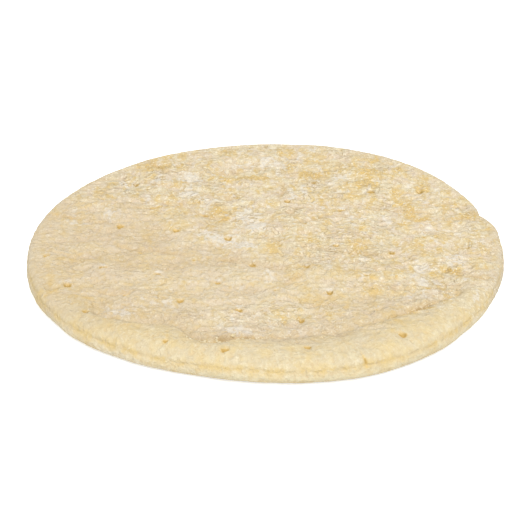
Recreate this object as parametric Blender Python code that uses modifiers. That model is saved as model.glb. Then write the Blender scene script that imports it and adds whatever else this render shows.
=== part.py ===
"""A par-baked pizza crust: one round of dough with a raised rim, a seam round its side,
docking pits in its top and a flat base. Metres, +Z up, the origin at the base's middle,
-Y at the front."""
import math

import bpy
import numpy as np
from mathutils import Vector, noise

MM = 0.001
NAME = "pizza_crust"

# Driving dimensions
DIAMETER = 305 * MM
RIM_HEIGHT = 17.2 * MM
FLOOR_HEIGHT = 13.4 * MM
BASE_INSET = 9 * MM

# The side: a lower lip that stands out a little, a seam, and the rim that rolls in over it
LIP_HEIGHT = 6.5 * MM
SEAM_HEIGHT = 10.4 * MM
SEAM_STEP = 0.9 * MM
SEAM_DEPTH = 0.3 * MM
SEAM_WIDTH = 1.3 * MM
SEAM_WANDER = 0.7 * MM
SIDE_SWELL, SIDE_SWELL_LENGTH = 0.9 * MM, 26 * MM
ROLL_WIDTH = 17 * MM
SHOULDER_START, SHOULDER_END = 60, 10
LIP_STEPS = 9
ROLL_STEPS = 17
# The upper side's relief begins this far in from the edge, and is full from there on
RELIEF_START, RELIEF_FULL = 1.5 * MM, 11 * MM

# The outline's waves: how many round the edge, how far out, and where a crest points
OUTLINE_WAVES = (
    (2, 0.4 * MM, 41),
    (3, 1.9 * MM, -53),
    (4, 0.8 * MM, 38),
    (5, 0.7 * MM, -1),
    (6, 0.6 * MM, -6),
)
# The notch in the edge at the right and the lobe in front of it: depth, direction, half-width
NOTCH_DEPTH, NOTCH_AT, NOTCH_SPREAD = 2.6 * MM, 15.2, 2.8
LOBE_RISE, LOBE_AT, LOBE_SPREAD = 1.3 * MM, 7.5, 4.0
EDGE_REACH = 60 * MM

# The crease behind the front rim, from left to right in millimetres, and the low rim elsewhere
FRONT_CREASE = (
    (-112, -90),
    (-82, -99),
    (-55, -101),
    (-33, -124),
    (-6, -115),
    (42, -114),
    (76, -90),
    (120, -61),
)
CREASE_FADE = 10
CREASE_LEAST_WIDTH = 17 * MM
CROWN_INSET = 11 * MM
CREASE_DEPTH = 1.5 * MM
CREASE_HALF_WIDTH = 3.8 * MM
BACK_WIDTH = 30 * MM
BACK_WANDER = 4 * MM
BACK_WAVES, BACK_WAVES_START = 5, 1.2
BACK_RISE = 0.25

# Unevenness of the dough: length of a swell and its height
SWELLS = ((74 * MM, 2.0 * MM), (31 * MM, 2.4 * MM), (13 * MM, 2.0 * MM))
SWELL_STRETCH = 1.7
SWELL_SHIFT = 3.1
DOME_RISE = 0.8 * MM
RIM_CALM = 0.4

# Folds pressed into the top: start, bend and end in millimetres, depth and half-width.
# A fold with a negative depth is a ridge. Its depth fades to nothing at both tips.
FOLD_STEPS = 24
FOLD_TIP = 0.04
FOLD_FADE = 0.6
FOLDS = (
    ((-102, -3), (-68, -11), (-42, -20), 1.0 * MM, 2.2 * MM),
    ((-47, -19), (-18, -22), (3, -35), 1.0 * MM, 2.2 * MM),
    ((-2, -35), (14, -38), (31, -30), 0.8 * MM, 2.0 * MM),
    ((20, -8), (48, -19), (84, -20), 0.9 * MM, 2.0 * MM),
    ((-106, -63), (-95, -71), (-80, -65), 1.1 * MM, 2.4 * MM),
    ((-104, 20), (-85, 18), (-62, 20), 0.5 * MM, 2.0 * MM),
    ((-101, 46), (-78, 43), (-61, 55), 0.9 * MM, 2.2 * MM),
    ((-66, 53), (-55, 59), (-43, 55), 0.8 * MM, 2.0 * MM),
    ((-124, 84), (-105, 97), (-90, 85), 1.2 * MM, 2.6 * MM),
    ((-92, 86), (-76, 85), (-62, 73), 0.9 * MM, 2.0 * MM),
    ((-50, 46), (-38, 37), (-14, 26), 1.0 * MM, 2.4 * MM),
    ((20, 22), (30, 26), (46, 41), 1.0 * MM, 2.2 * MM),
    ((0, 31), (22, 46), (45, 51), 0.6 * MM, 2.2 * MM),
    ((-42, 52), (-34, 55), (-27, 53), 0.9 * MM, 2.0 * MM),
    ((60, -33), (70, -41), (84, -36), 0.6 * MM, 2.0 * MM),
    ((60, -60), (85, -64), (121, -59), 0.8 * MM, 1.8 * MM),
    ((60, 49), (76, 41), (108, 43), 0.8 * MM, 1.8 * MM),
    ((84, 19), (108, 37), (142, 28), 0.9 * MM, 2.2 * MM),
    ((112, -38), (126, -49), (143, -48), 1.2 * MM, 2.8 * MM),
    ((-38, 105), (-28, 101), (-14, 103), 0.9 * MM, 2.0 * MM),
    ((-85, 121), (-74, 106), (-65, 93), 0.9 * MM, 2.2 * MM),
    ((8, 90), (15, 74), (8, 60), 0.7 * MM, 1.8 * MM),
    ((7, -62), (20, -48), (28, -36), 0.6 * MM, 1.8 * MM),
    ((-143, 35), (-122, 33), (-100, 25), 0.7 * MM, 2.4 * MM),
    ((147, 43), (140, 37), (132, 37), 1.2 * MM, 2.6 * MM),
    ((123, -65), (131, -72), (133, -81), -1.0 * MM, 2.4 * MM),
)

# Docking pits, in rows from the front to the back, in millimetres
PIT_RADIUS = 2.5 * MM
PIT_DEPTH = 1.6 * MM
PITS = (
    ((-58, -125), (-24, -134), (24, -130), (78, -116)),
    ((-107, -90), (-52, -77), (-17, -87), (20, -97)),
    ((-122, -57), (-85, -69), (-68, -43), (-31, -53), (38, -66)),
    ((-139, -21), (-102, -36), (-9, -29), (24, -36)),
    ((44, -9), (79, -16), (127, -8), (-59, 14), (-25, 5), (-96, 22)),
    ((24, 20), (-42, 40), (14, 54), (-76, 47), (50, 43)),
    ((-90, 83), (104, 71), (33, 83), (-4, 90), (71, 70)),
)
# Pits that have nearly closed up, likewise
FAINT_PITS = (
    ((66, -86), (5, -64), (98, -60), (-46, -22), (61, -48), (114, -36)),
    ((-116, -1), (-80, -12), (8, -8), (-129, 32), (61, 15), (101, 2)),
    ((-111, 59), (-4, 29), (88, 36), (121, 25), (-58, 74), (-20, 63)),
    ((-71, 109), (-29, 88), (54, 106), (91, 94), (-15, 125), (19, 112)),
)
FAINT_SHARE = 0.35

# The mesh before and after it is thinned out
SPIN_STEPS = 300
RING_PITCH = 2 * MM
MERGE_DISTANCE = 0.000001
TRIANGLES = 9500
FLAT_TOLERANCE = 0.00001

DOUGH_COLOUR = (0.79, 0.66, 0.44, 1.0)
DOUGH_ROUGHNESS = 0.8

RADIUS = DIAMETER / 2


def smoothstep(value, low, high):
    """0 below low, 1 above high, smooth between."""
    t = np.clip((value - low) / (high - low), 0.0, 1.0)
    return t * t * (3.0 - 2.0 * t)


def turn_between(angle, degrees):
    """The signed angle from a direction in degrees, in degrees."""
    return (np.degrees(angle) - degrees + 180.0) % 360.0 - 180.0


def arc(centre, radii, start, end, steps):
    """Points along a stretch of an ellipse, from start to end degrees."""
    angles = np.radians(np.linspace(start, end, steps))
    return [(centre[0] + radii[0] * math.cos(a), centre[1] + radii[1] * math.sin(a)) for a in angles]


def crust_profile():
    """Half of the blank's section, from the middle of the top over the side to the base's."""
    flat_edge = RADIUS - ROLL_WIDTH
    rings = int(flat_edge / RING_PITCH)
    top = [(flat_edge * k / rings, RIM_HEIGHT) for k in range(rings)]
    roll_radii = (ROLL_WIDTH - SEAM_STEP, RIM_HEIGHT - SEAM_HEIGHT)
    roll = arc((flat_edge, SEAM_HEIGHT), roll_radii, 90, 0, ROLL_STEPS)
    shoulder_radii = (2 * SEAM_STEP, SEAM_HEIGHT - LIP_HEIGHT)
    shoulder_centre = (RADIUS - 2 * SEAM_STEP, LIP_HEIGHT)
    shoulder = arc(shoulder_centre, shoulder_radii, SHOULDER_START, SHOULDER_END, LIP_STEPS)
    lip = arc((RADIUS - BASE_INSET, LIP_HEIGHT), (BASE_INSET, LIP_HEIGHT), 0, -90, LIP_STEPS)
    return top + roll + shoulder + lip + [(0.0, 0.0)]


def turned_blank():
    """The plain round, turned from its half section."""
    points = crust_profile()
    mesh = bpy.data.meshes.new("blank")
    mesh.from_pydata([(r, 0.0, z) for r, z in points], [(k, k + 1) for k in range(len(points) - 1)], [])
    blank = bpy.data.objects.new("blank", mesh)
    bpy.context.scene.collection.objects.link(blank)
    screw = blank.modifiers.new("Turn", "SCREW")
    screw.steps = SPIN_STEPS
    screw.render_steps = SPIN_STEPS
    screw.use_merge_vertices = True
    screw.merge_threshold = MERGE_DISTANCE
    screw.use_smooth_shade = True
    turned = bpy.data.meshes.new_from_object(blank.evaluated_get(bpy.context.evaluated_depsgraph_get()))
    bpy.data.objects.remove(blank)
    return turned


def edge_growth(angle):
    """How far the outline lies outside the plain round, in a direction."""
    grown = sum(rise * np.cos(count * (angle - math.radians(at))) for count, rise, at in OUTLINE_WAVES)
    notch = np.exp(-((turn_between(angle, NOTCH_AT) / NOTCH_SPREAD) ** 2))
    lobe = np.exp(-((turn_between(angle, LOBE_AT) / LOBE_SPREAD) ** 2))
    return grown - NOTCH_DEPTH * notch + LOBE_RISE * lobe


def front_share(angle):
    """1 along the front crease, fading at its ends to 0 round the rest of the rim."""
    ends = [math.degrees(math.atan2(y, x)) for x, y in (FRONT_CREASE[0], FRONT_CREASE[-1])]
    middle, half = (ends[0] + ends[1]) / 2, (ends[1] - ends[0]) / 2
    return 1.0 - smoothstep(np.abs(turn_between(angle, middle)), half - CREASE_FADE / 2, half + CREASE_FADE)


def crease_radius(angle):
    """The front crease's distance from the middle: a smooth curve through its points."""
    angles = np.array([math.atan2(y, x) for x, y in FRONT_CREASE])
    radii = np.array([math.hypot(x, y) * MM for x, y in FRONT_CREASE])
    slopes = np.gradient(radii, angles)
    angle = np.clip(angle, angles[0], angles[-1])
    k = np.clip(np.searchsorted(angles, angle) - 1, 0, len(angles) - 2)
    span = angles[k + 1] - angles[k]
    t = (angle - angles[k]) / span
    start = radii[k] * (1 + 2 * t) * (1 - t) ** 2 + slopes[k] * span * t * (1 - t) ** 2
    end = radii[k + 1] * t * t * (3 - 2 * t) + slopes[k + 1] * span * t * t * (t - 1)
    return start + end


def crease_width(angle):
    """The distance from the edge to the foot of the rim's inner slope."""
    front = np.maximum(RADIUS + edge_growth(angle) - crease_radius(angle), CREASE_LEAST_WIDTH)
    back = BACK_WIDTH + BACK_WANDER * np.sin(angle * BACK_WAVES + BACK_WAVES_START)
    share = front_share(angle)
    return share * front + (1.0 - share) * back


def pressed(inset, angle):
    """How far the dough lies below the rim's full height, with the crease in front."""
    share = front_share(angle)
    foot = crease_width(angle)
    slope = np.clip((inset - CROWN_INSET) / (foot - CROWN_INSET), 0.0, 1.0)
    slope = share * slope**2 + (1.0 - share) * smoothstep(slope, 0.0, 1.0)
    rise = BACK_RISE + (1.0 - BACK_RISE) * share
    crease = CREASE_DEPTH * np.exp(-(((inset - foot) / CREASE_HALF_WIDTH) ** 2))
    return (RIM_HEIGHT - FLOOR_HEIGHT) * (1.0 - rise * (1.0 - slope)) + share**3 * crease


def swells(x, y):
    """The uneven heights of the dough: broad swells with smaller ones on them."""
    heights = np.zeros(len(x))
    for layer, (length, height) in enumerate(SWELLS):
        for k in range(len(x)):
            place = Vector((x[k] / (length * SWELL_STRETCH), y[k] / length, SWELL_SHIFT * layer))
            heights[k] += height * noise.noise(place)
    return heights


def side_relief(angle, z):
    """The seam round the side and the uneven bulges above and below it."""
    relief = np.zeros(len(angle))
    for k in range(len(angle)):
        run = Vector((math.cos(angle[k]), math.sin(angle[k]), 0.0)) * RADIUS / SIDE_SWELL_LENGTH
        bulge = SIDE_SWELL * noise.noise(run + Vector((0.0, 0.0, z[k] / SEAM_HEIGHT)))
        seam_height = SEAM_HEIGHT + SEAM_WANDER * noise.noise(run)
        seam = SEAM_DEPTH * math.exp(-(((z[k] - seam_height) / SEAM_WIDTH) ** 2))
        relief[k] = bulge - seam
    return relief


def fold_depth(x, y, fold):
    """The depth that one fold presses into the top, along its bent line."""
    start, bend, end, depth, half_width = fold
    t = np.linspace(0.0, 1.0, FOLD_STEPS + 1)[:, None]
    line = ((1 - t) ** 2 * np.array(start) + 2 * t * (1 - t) * np.array(bend) + t * t * np.array(end)) * MM
    nearest = np.full(len(x), np.inf)
    along = np.zeros(len(x))
    for k in range(FOLD_STEPS):
        step = line[k + 1] - line[k]
        reach = ((x - line[k][0]) * step[0] + (y - line[k][1]) * step[1]) / (step @ step)
        reach = np.clip(reach, 0.0, 1.0)
        away = np.hypot(x - line[k][0] - reach * step[0], y - line[k][1] - reach * step[1])
        closer = away < nearest
        nearest[closer] = away[closer]
        along[closer] = (k + reach[closer]) / FOLD_STEPS
    fade = np.sin(np.pi * np.clip(along, FOLD_TIP, 1.0 - FOLD_TIP)) ** FOLD_FADE
    return depth * fade * np.exp(-((nearest / half_width) ** 2))


def pit_depth(x, y):
    """The depth of the docking pits, each a small round dimple, the closed ones shallower."""
    depth = np.zeros(len(x))
    for rows, share in ((PITS, 1.0), (FAINT_PITS, FAINT_SHARE)):
        for pit_x, pit_y in (place for row in rows for place in row):
            away = np.hypot(x - pit_x * MM, y - pit_y * MM)
            depth += share * PIT_DEPTH * np.exp(-((away / PIT_RADIUS) ** 2))
    return depth


def shape_dough(mesh):
    """Moves the blank's points: the outline's waves, the pressed middle, swells, folds and pits."""
    points = np.empty(len(mesh.vertices) * 3)
    mesh.vertices.foreach_get("co", points)
    points = points.reshape(-1, 3)
    x, y, z = points.T.copy()
    distance = np.hypot(x, y)
    angle = np.arctan2(y, x)
    inset = RADIUS - distance

    growth = edge_growth(angle) * smoothstep(distance, RADIUS - EDGE_REACH, RADIUS)
    growth += side_relief(angle, z) * (inset < ROLL_WIDTH / 2)
    points[:, 0] += growth * np.cos(angle)
    points[:, 1] += growth * np.sin(angle)

    x, y = points[:, 0], points[:, 1]
    upward = smoothstep(inset, RELIEF_START, RELIEF_FULL) * (z > SEAM_HEIGHT)
    calm = RIM_CALM + (1.0 - RIM_CALM) * smoothstep(inset, ROLL_WIDTH, crease_width(angle))
    dome = DOME_RISE * (1.0 - smoothstep(distance, 0.0, RADIUS - BACK_WIDTH))
    change = dome - pressed(inset, angle) + calm * swells(x, y)
    change -= pit_depth(x, y)
    for fold in FOLDS:
        change -= fold_depth(x, y, fold)
    points[:, 2] += upward * change

    low, high = points.min(axis=0), points.max(axis=0)
    points[:, :2] -= (low + high)[:2] / 2
    mesh.vertices.foreach_set("co", points.ravel())
    mesh.update()


def thin_out(mesh):
    """Collapses the fine mesh to the wanted triangles and keeps its base exactly flat."""
    fine = bpy.data.objects.new("fine", mesh)
    bpy.context.scene.collection.objects.link(fine)
    fine.modifiers.new("Triangles", "TRIANGULATE")
    triangles = sum(len(face.vertices) - 2 for face in mesh.polygons)
    decimate = fine.modifiers.new("Thin", "DECIMATE")
    decimate.ratio = TRIANGLES / triangles
    thin = bpy.data.meshes.new_from_object(fine.evaluated_get(bpy.context.evaluated_depsgraph_get()))
    bpy.data.objects.remove(fine)
    bpy.data.meshes.remove(mesh)
    for vertex in thin.vertices:
        if abs(vertex.co.z) < FLAT_TOLERANCE:
            vertex.co.z = 0.0
    thin.name = NAME
    return thin


def dough_material():
    """Pale par-baked dough."""
    material = bpy.data.materials.new("baked_dough")
    material.use_nodes = True
    shader = material.node_tree.nodes["Principled BSDF"]
    shader.inputs["Base Color"].default_value = DOUGH_COLOUR
    shader.inputs["Roughness"].default_value = DOUGH_ROUGHNESS
    shader.inputs["Metallic"].default_value = 0.0
    material.diffuse_color = DOUGH_COLOUR
    return material


def main():
    for thing in list(bpy.data.objects):
        bpy.data.objects.remove(thing)
    collection = bpy.data.collections.new("Pizza_crust")
    bpy.context.scene.collection.children.link(collection)
    blank = turned_blank()
    shape_dough(blank)
    mesh = thin_out(blank)
    mesh.shade_smooth()
    mesh.materials.clear()
    mesh.materials.append(dough_material())
    crust = bpy.data.objects.new(NAME, mesh)
    collection.objects.link(crust)


main()
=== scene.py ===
"""A par-baked pizza crust on a pale floor in soft studio light. Metres, +Z up: the crust's flat
base lies on z = 0 and the side with the deep crease faces -Y."""
import math
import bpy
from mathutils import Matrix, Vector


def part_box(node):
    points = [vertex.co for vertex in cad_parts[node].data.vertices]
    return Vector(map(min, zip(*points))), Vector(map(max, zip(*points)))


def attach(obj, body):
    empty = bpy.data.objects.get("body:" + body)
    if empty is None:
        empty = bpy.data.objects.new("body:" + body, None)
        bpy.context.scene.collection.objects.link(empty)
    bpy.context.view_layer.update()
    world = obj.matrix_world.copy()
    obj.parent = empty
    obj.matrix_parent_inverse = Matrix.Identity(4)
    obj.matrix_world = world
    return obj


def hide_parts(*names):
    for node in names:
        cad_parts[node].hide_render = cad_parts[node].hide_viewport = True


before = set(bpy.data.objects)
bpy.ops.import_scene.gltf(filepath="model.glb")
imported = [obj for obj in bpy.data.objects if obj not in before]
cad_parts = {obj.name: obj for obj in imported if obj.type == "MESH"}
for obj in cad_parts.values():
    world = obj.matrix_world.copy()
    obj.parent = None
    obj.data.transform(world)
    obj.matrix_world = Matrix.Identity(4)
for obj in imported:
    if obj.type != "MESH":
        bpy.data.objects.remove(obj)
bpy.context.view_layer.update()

from types import SimpleNamespace

import bmesh
import bpy
import numpy as np
from mathutils import Matrix, Vector, noise
from mathutils.bvhtree import BVHTree

bl_info = {
    "name": "Pizza crust",
    "version": (1, 0, 0),
    "blender": (4, 5, 0),
    "location": "3D View > Sidebar > Pizza crust",
    "description": "A par-baked pizza crust with toasted, floury dough and loose crumbs",
    "category": "Object",
}

MM = 0.001
NODE = "pizza_crust"

# The side: the flat base's edge lies in from it, with a lower lip, a seam and the rim that rolls in
BASE_INSET = 9 * MM
LIP_HEIGHT = 6.5 * MM
SEAM_STEP = 0.9 * MM
SEAM_DEPTH = 0.15 * MM
SEAM_WIDTH = 1.3 * MM
SEAM_WANDER = 0.7 * MM
# Bulges of the side: height and length
SIDE_SWELL, SIDE_SWELL_LENGTH = 0.9 * MM, 26 * MM
# Finer ones on them: how many times finer, length up the side, and height
SIDE_GRAIN = ((6.0, 5 * MM, 0.30 * MM), (13.0, 3 * MM, 0.16 * MM))
# How far in from the edge they start to fade and are gone
SIDE_FADE_START, SIDE_FADE_END = 6 * MM, 11 * MM
# The width of the roll, and the stretch of an ellipse, in degrees, that the shoulder below it is
ROLL_WIDTH = 17 * MM
SHOULDER_START, SHOULDER_END = 60, 10
# How far in from the edge the top's relief starts and is in full
RELIEF_START, RELIEF_FULL = 1.5 * MM, 11 * MM

# The outline's waves: how many round the edge, how far out, and where a crest points
OUTLINE_WAVES = (
    (2, 0.4 * MM, 41),
    (3, 1.9 * MM, -53),
    (4, 0.8 * MM, 38),
    (5, 0.7 * MM, -1),
    (6, 0.6 * MM, -6),
)
# The notch and the lobe beside it: how far in or out, where, and how wide in degrees
NOTCH_DEPTH, NOTCH_AT, NOTCH_SPREAD = 2.6 * MM, 15.2, 2.8
LOBE_RISE, LOBE_AT, LOBE_SPREAD = 1.3 * MM, 7.5, 4.0
# How far in from the edge all this still moves the top
EDGE_REACH = 60 * MM

# The crease behind the front rim, from left to right in millimetres
FRONT_CREASE = (
    (-112, -90), (-82, -99), (-55, -101), (-33, -123), (-9, -116),
    (18, -113), (42, -111), (72, -97), (98, -82), (120, -63),
)
# Over how many degrees it fades, the least width and the crown of the rim before it, and its section
CREASE_FADE = 10
CREASE_LEAST_WIDTH, CROWN_INSET = 17 * MM, 11 * MM
CREASE_DEPTH, CREASE_HALF_WIDTH = 1.5 * MM, 3.8 * MM
# The sharp line in its bottom, which comes and goes, and the directions and spreads where it is strong
CREASE_LINE_DEPTH, CREASE_LINE_HALF_WIDTH = 0.9 * MM, 1.5 * MM
CREASE_LINE_LEAST, CREASE_LINE_WIDENED = 0.3, 0.9
CREASE_LINE_STRONG = ((-98, 10), (-40, 14))
CREASE_LINE_WANDER, CREASE_LINE_LENGTH = 2.2 * MM, 13 * MM
CREASE_LINE_COMES, CREASE_LINE_SHOWN = 0.6, (-0.45, 0.15)
# The slices of the noise that it wanders by, and comes and goes by
CREASE_LINE_SLICES = ((0.0, 7.7), (3.0, 1.1))
# The low rim elsewhere: its width, the waves of that, and the share of the front rim's rise it has
BACK_WIDTH, BACK_WANDER = 30 * MM, 4 * MM
BACK_WAVES, BACK_WAVES_START = 5, 1.2
BACK_RISE = 0.25

# Unevenness of the dough: length of a swell and its height
SWELLS = ((74 * MM, 2.0 * MM), (31 * MM, 2.4 * MM), (13 * MM, 2.0 * MM))
SWELL_STRETCH = 1.7
# The top's middle stands up a little
DOME_RISE = 0.8 * MM
# The share of the swells that the rim keeps, and how much smoother it and the roll in front are
RIM_CALM, RIM_SMOOTHER, ROLL_SMOOTHER = 0.4, 0.45, 0.2
# Smaller unevenness: length across and along, and height
LUMPS = (
    (10 * MM, 5.2 * MM, 1.35 * MM),
    (5.0 * MM, 3.0 * MM, 0.60 * MM),
    (2.4 * MM, 1.9 * MM, 0.22 * MM),
)
# What keeps their mean height at nothing, how much narrower a hollow is, and their height's share
LUMP_MIDDLE, LUMP_NARROWED, LUMP_SHARE = 0.42, 2.0, 0.7
# Fine wrinkles where the skin has shrunk: length across and along, depth, sharpness
WRINKLES = (
    (15 * MM, 5.5 * MM, 0.34 * MM, 0.085),
    (9 * MM, 3.6 * MM, 0.22 * MM, 0.11),
)
WRINKLE_PATCH, WRINKLE_SHOWN = 34 * MM, (-0.25, 0.25)
WRINKLE_SWAY = 0.7
# The share of the wrinkles that smooth skin keeps, and the depth that shows in full
WRINKLE_LEAST, WRINKLE_FULL = 0.3, 0.45 * MM
# The slice of the noise that a relief's first layer is, and the step to the next layer
SWELL_SLICES, LUMP_SLICES, WRINKLE_SLICES, PATCH_SLICES = (0.0, 3.1), (11.3, 2.7), (21.7, 3.3), (31.7, 1.0)

# Smooth patterns over the top: lengths across and along, and the slice of the noise
PATTERNS = {
    "wrinkle_sway": (22 * MM, 22 * MM, 5.5),
    "fold_shown": (14 * MM, 14 * MM, 29.3),
    "fold_wander": (9 * MM, 9 * MM, 41.3),
    "torn": (6 * MM, 4 * MM, 51.1),
    "toast": (17 * MM, 13 * MM, 61.9),
    "broad_toast": (38 * MM, 32 * MM, 63.9),
    "flour": (24 * MM, 17 * MM, 71.9),
    "ragged": (11 * MM, 11 * MM, 81.3),
    "finely_ragged": (4 * MM, 4 * MM, 83.3),
    "crisp": (40 * MM, 30 * MM, 91.7),
}

# How a fold is drawn and fades at its tips, and the finer line along it that comes and goes
FOLD_STEPS, FOLD_TIP, FOLD_FADE = 24, 0.04, 0.6
FOLD_LINE_SHARE, FOLD_LINE_HALF_WIDTH, FOLD_WANDER = 0.45, 1.3 * MM, 1.3 * MM
FOLD_LINE_LEAST, FOLD_LINE_SHOWN, FOLD_LINE_COLOUR = 0.4, (-0.4, 0.2), 0.85
# Folds pressed into the top: start, bend, end, depth and half-width, all in millimetres. A fold with
# a negative depth is a ridge.
FOLDS = (
    ((-102, -3), (-68, -11), (-42, -20), 1.0, 2.2), ((-47, -19), (-18, -22), (3, -35), 1.0, 2.2),
    ((-2, -35), (14, -38), (31, -30), 0.8, 2.0), ((20, -8), (48, -19), (84, -20), 0.9, 2.0),
    ((-106, -63), (-95, -71), (-80, -65), 1.1, 2.4), ((-104, 20), (-85, 18), (-62, 20), 0.5, 2.0),
    ((-101, 46), (-78, 43), (-61, 55), 0.9, 2.2), ((-66, 53), (-55, 59), (-43, 55), 0.8, 2.0),
    ((-124, 84), (-105, 97), (-90, 85), 1.2, 2.6), ((-92, 86), (-76, 85), (-62, 73), 0.9, 2.0),
    ((-50, 46), (-38, 37), (-14, 26), 1.0, 2.4), ((20, 22), (30, 26), (46, 41), 1.0, 2.2),
    ((0, 31), (22, 46), (45, 51), 0.6, 2.2), ((-42, 52), (-34, 55), (-27, 53), 0.9, 2.0),
    ((60, -33), (70, -41), (84, -36), 0.6, 2.0), ((60, -60), (85, -64), (121, -59), 0.8, 1.8),
    ((60, 49), (76, 41), (108, 43), 0.8, 1.8), ((84, 19), (108, 37), (142, 28), 0.9, 2.2),
    ((112, -38), (126, -49), (143, -48), 1.2, 2.8), ((-38, 105), (-28, 101), (-14, 103), 0.9, 2.0),
    ((-85, 121), (-74, 106), (-65, 93), 0.9, 2.2), ((8, 90), (15, 74), (8, 60), 0.7, 1.8),
    ((7, -62), (20, -48), (28, -36), 0.6, 1.8), ((-143, 35), (-122, 33), (-100, 25), 0.7, 2.4),
    ((147, 43), (140, 37), (132, 37), 1.2, 2.6), ((123, -65), (131, -72), (133, -81), -1.0, 2.4),
)

# Docking pits, in rows from the front to the back, in millimetres
PITS = (
    ((-58, -128), (-24, -137), (23, -133), (78, -120)),
    ((-107, -93), (-52, -77), (-17, -87), (20, -97)),
    ((-122, -57), (-85, -69), (-68, -43), (-31, -53), (38, -66)),
    ((-139, -21), (-102, -36), (-9, -29), (24, -36)),
    ((44, -9), (79, -16), (127, -8), (-59, 14), (-25, 5), (-96, 22)),
    ((24, 20), (-42, 40), (14, 54), (-76, 47), (50, 43)),
    ((-90, 83), (104, 71), (33, 83), (-4, 90), (71, 70)),
)
# Pits that have nearly closed up, likewise
FAINT_PITS = (
    ((66, -86), (5, -64), (98, -60), (-46, -22), (61, -48), (114, -36)),
    ((-116, -1), (-80, -12), (8, -8), (-129, 32), (61, 15), (101, 2)),
    ((-111, 59), (-4, 29), (88, 36), (121, 25), (-58, 74), (-20, 63)),
    ((-71, 109), (-29, 88), (54, 106), (91, 94), (-15, 125), (19, 112)),
)
FAINT_SHARE = 0.35
# Each pit's own size and depth: the least, and the spread above it
PIT_SIZE, PIT_SIZE_SPREAD = 0.8, 0.35
PIT_DEEP, PIT_DEEP_SPREAD = 0.6, 0.5
# As shares of a pit's radius: its width, its wall's start and end, its reach, and where its swollen
# lip is and how wide. The lip's rise is a height.
PIT_OVAL, PIT_WALL, PIT_REACH = 1.15, (0.10, 1.15), 4
PIT_LIP_AT, PIT_LIP_WIDTH, PIT_LIP_RISE = 1.5, 0.45, 0.22 * MM
# How its mouth wavers: how far, how many times round, and how that turns from pit to pit
PIT_WAVERS = ((0.16, 2, 11), (0.1, 3, 23))
# The dark heart of a pit, painted shadow over its brown bottom, and the pale place behind it, a painted
# highlight where the far wall and lip face the light, as such shares: how far off the middle, and the
# reaches across and along
HEART_SHIFT, HEART_REACH, HEART_BEND = 0.05, (0.88, 0.42), 0.15
PALE_SHIFT, PALE_REACH = 1.35, (1.3, 0.7)
# The heart's mask falls off as a wide cone, which the finish cuts sharp
HEART_CONE = 3
# The points are drawn closer round each pit, but not near the edge
PIT_GATHER, PIT_GATHER_PULL, GATHER_MARGIN = 9 * MM, 0.5, 4 * MM
GOLDEN_RATIO = 0.618

# A slit in the front rim: direction, height, lean, half-width, half-height and depth
SLIT_AT, SLIT_HEIGHT, SLIT_LEAN = -68.7, 12.2 * MM, 0.12
SLIT_HALF_WIDTH, SLIT_HALF_HEIGHT, SLIT_DEPTH = 0.9 * MM, 3.0 * MM, 1.4 * MM

# Dough torn into crumbs behind the crease: middle and reach in millimetres
TORN_PLACES = (((-28, -122), (13, 4.5)), ((-10, -120), (9, 4)), ((-38, -123), (7, 4)))
# A torn lump's length and height, how far off its middle it is level with the skin, and where the
# gap beside it starts and is in full
TORN_LUMP, TORN_HEIGHT, TORN_MIDDLE, TORN_GAP = 3.4 * MM, 1.7 * MM, 0.5, (0.38, 0.68)
# How torn a point is at least to have lumps, where the pattern shows them, and their noise's slice
TORN_LEAST, TORN_SHOWN, TORN_SLICE = 0.02, (-0.4, 0.1), 2.2

# Toasted patches: middle, reach across and along in millimetres, and how strong. A negative one is
# paler than the dough round it.
TOASTED = (
    (-77, 108, 15, 10, 0.30), (-100, 63, 9, 4, 0.30), (-73, 52, 6, 6, 0.24), (-61, 18, 5, 5, 0.32),
    (-65, 38, 4, 9, 0.20), (-31, 132, 8, 6, 0.25), (-5, 91, 8, 5, 0.46), (-29, 88, 6, 5, 0.34),
    (9, 135, 5, 6, 0.22), (32, 96, 8, 6, 0.42), (33, 84, 4, 4, 0.40), (72, 99, 7, 12, 0.40),
    (68, 80, 7, 10, 0.36), (61, 62, 7, 5, 0.30), (42, 58, 7, 4, 0.26), (88, 66, 4, 8, 0.34),
    (92, 52, 5, 6, 0.36), (95, 40, 4, 9, 0.42), (103, 31, 6, 4, 0.44), (88, 21, 5, 4, 0.36),
    (-27, 33, 6, 7, 0.44), (-33, 45, 5, 10, 0.28), (-35, 25, 4, 6, 0.24), (-25, 8, 5, 5, 0.22),
    (4, -12, 6, 9, 0.36), (30, -2, 7, 5, 0.28), (60, -8, 5, 7, 0.34), (-113, -23, 11, 5, 0.22),
    (-104, -73, 14, 4, 0.30), (-72, -93, 6, 4, 0.22), (67, -64, 8, 5, 0.34), (30, -74, 9, 5, 0.20),
    (72, -108, 14, 8, 0.16), (-82, -114, 12, 8, 0.16), (113, -38, 6, 3, 0.42), (102, -42, 4, 3, 0.34),
    (133, 35, 4, 5, 0.36), (121, 50, 6, 8, 0.24), (105, 76, 5, 7, 0.32), (40, 100, 14, 8, 0.16),
    (-20, 92, 18, 4, 0.22), (100, 0, 12, 14, 0.14), (-90, -100, 7, 3, 0.26), (5, -50, 30, 14, 0.05),
    (-32, -124, 14, 4, 0.32), (80, -95, 8, 3, 0.40), (92, -88, 8, 3, 0.45), (104, -80, 8, 3, 0.40),
    (114, -70, 6, 3, 0.18), (16, -109, 34, 6, -0.50), (96, -74, 16, 7, -0.14), (-62, -84, 40, 16, -0.03),
    (-132, -66, 6, 9, 0.30), (-141, -76, 6, 10, 0.35), (-113, -84, 9, 6, 0.16), (47, -45, 28, 12, 0.10),
)
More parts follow.
